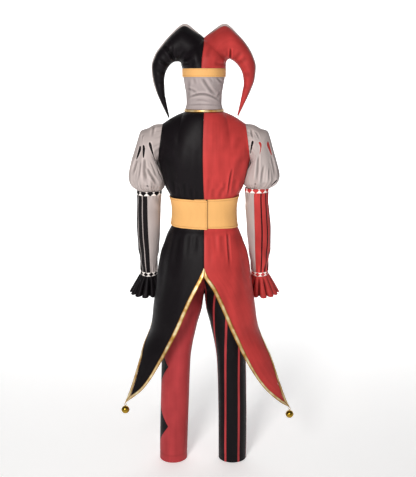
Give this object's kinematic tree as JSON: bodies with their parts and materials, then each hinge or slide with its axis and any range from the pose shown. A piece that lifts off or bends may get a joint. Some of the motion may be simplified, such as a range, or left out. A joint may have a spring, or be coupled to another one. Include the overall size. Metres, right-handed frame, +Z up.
{
  "type": "jester costume",
  "caption": "Jester costume in black and red halves: horned hat, hood, tailed coat with gold trim and bells, wide belt, slashed puff sleeves, pleated cuffs and trousers.",
  "frame": {"origin": "the middle of the coat's neck opening at the height of the neck trim behind, where the wearer's shoulders hold the costume up", "axes": "+X points to the wearer's right, +Y to the wearer's front, +Z up along the body"},
  "size_m": [0.7006, 0.3445, 1.776],
  "materials": {
    "black_satin": "black satin with a soft sheen",
    "red_satin": "red satin with a soft sheen",
    "grey_cloth": "warm light grey woven cloth, matt",
    "ochre_cloth": "golden yellow stiffened cloth, smooth",
    "gold_foil": "metallic gold foil tape",
    "diamond_tape": "pale tape with diamonds",
    "bell_brass": "polished gold-coloured metal"
  },
  "bodies": {
    "costume": {"coat_back_left": "black_satin", "coat_back_right": "red_satin", "coat_front_left": "black_satin", "coat_front_right": "red_satin", "coat_tail_left": "black_satin", "tail_trim_left_inner": "gold_foil", "tail_trim_left_outer": "gold_foil", "coat_tail_right": "red_satin", "tail_trim_right_inner": "gold_foil", "tail_trim_right_outer": "gold_foil", "coat_front_skirt_left": "black_satin", "front_trim_left": "gold_foil", "coat_front_skirt_right": "red_satin", "front_trim_right": "gold_foil", "neck_trim": "gold_foil", "belt": "ochre_cloth", "sleeve_puff_left": "grey_cloth", "elbow_band_left": "diamond_tape", "wrist_band_left": "diamond_tape", "forearm_striped_left": "black_satin", "forearm_plain_left": "grey_cloth", "cuff_left": "black_satin", "sleeve_puff_right": "grey_cloth", "elbow_band_right": "diamond_tape", "wrist_band_right": "diamond_tape", "forearm_striped_right": "red_satin", "forearm_plain_right": "grey_cloth", "cuff_right": "red_satin", "trouser_back_left": "red_satin", "trouser_front_left": "red_satin", "trouser_back_right": "black_satin", "trouser_front_right": "black_satin", "trouser_waistband": "black_satin", "hood_back": "grey_cloth", "hood_front": "grey_cloth", "hat_band": "ochre_cloth", "hat_back_left": "black_satin", "hat_front_left": "grey_cloth", "hat_back_right": "red_satin", "hat_front_right": "grey_cloth"},
    "ring_left": {"bell_ring_left": "bell_brass"},
    "bell_left": {"bell_left": "bell_brass", "bell_pellet_left": "bell_brass"},
    "ring_right": {"bell_ring_right": "bell_brass"},
    "bell_right": {"bell_right": "bell_brass", "bell_pellet_right": "bell_brass"}
  },
  "joints": [
    {"name": "ring_swing_left", "type": "hinge", "parent": "costume", "child": "ring_left", "pos_m": [-0.31941, -0.10636, -1.16253], "axis": [0, 1, 0], "range_deg": [-35, 35]},
    {"name": "bell_swing_left", "type": "hinge", "parent": "ring_left", "child": "bell_left", "pos_m": [-0.31941, -0.10636, -1.17292], "axis": [1, 0, 0], "range_deg": [-35, 35]},
    {"name": "ring_swing_right", "type": "hinge", "parent": "costume", "child": "ring_right", "pos_m": [0.34758, -0.08998, -1.18953], "axis": [0, 1, 0], "range_deg": [-35, 35]},
    {"name": "bell_swing_right", "type": "hinge", "parent": "ring_right", "child": "bell_right", "pos_m": [0.34758, -0.08998, -1.19992], "axis": [1, 0, 0], "range_deg": [-35, 35]}
  ]
}
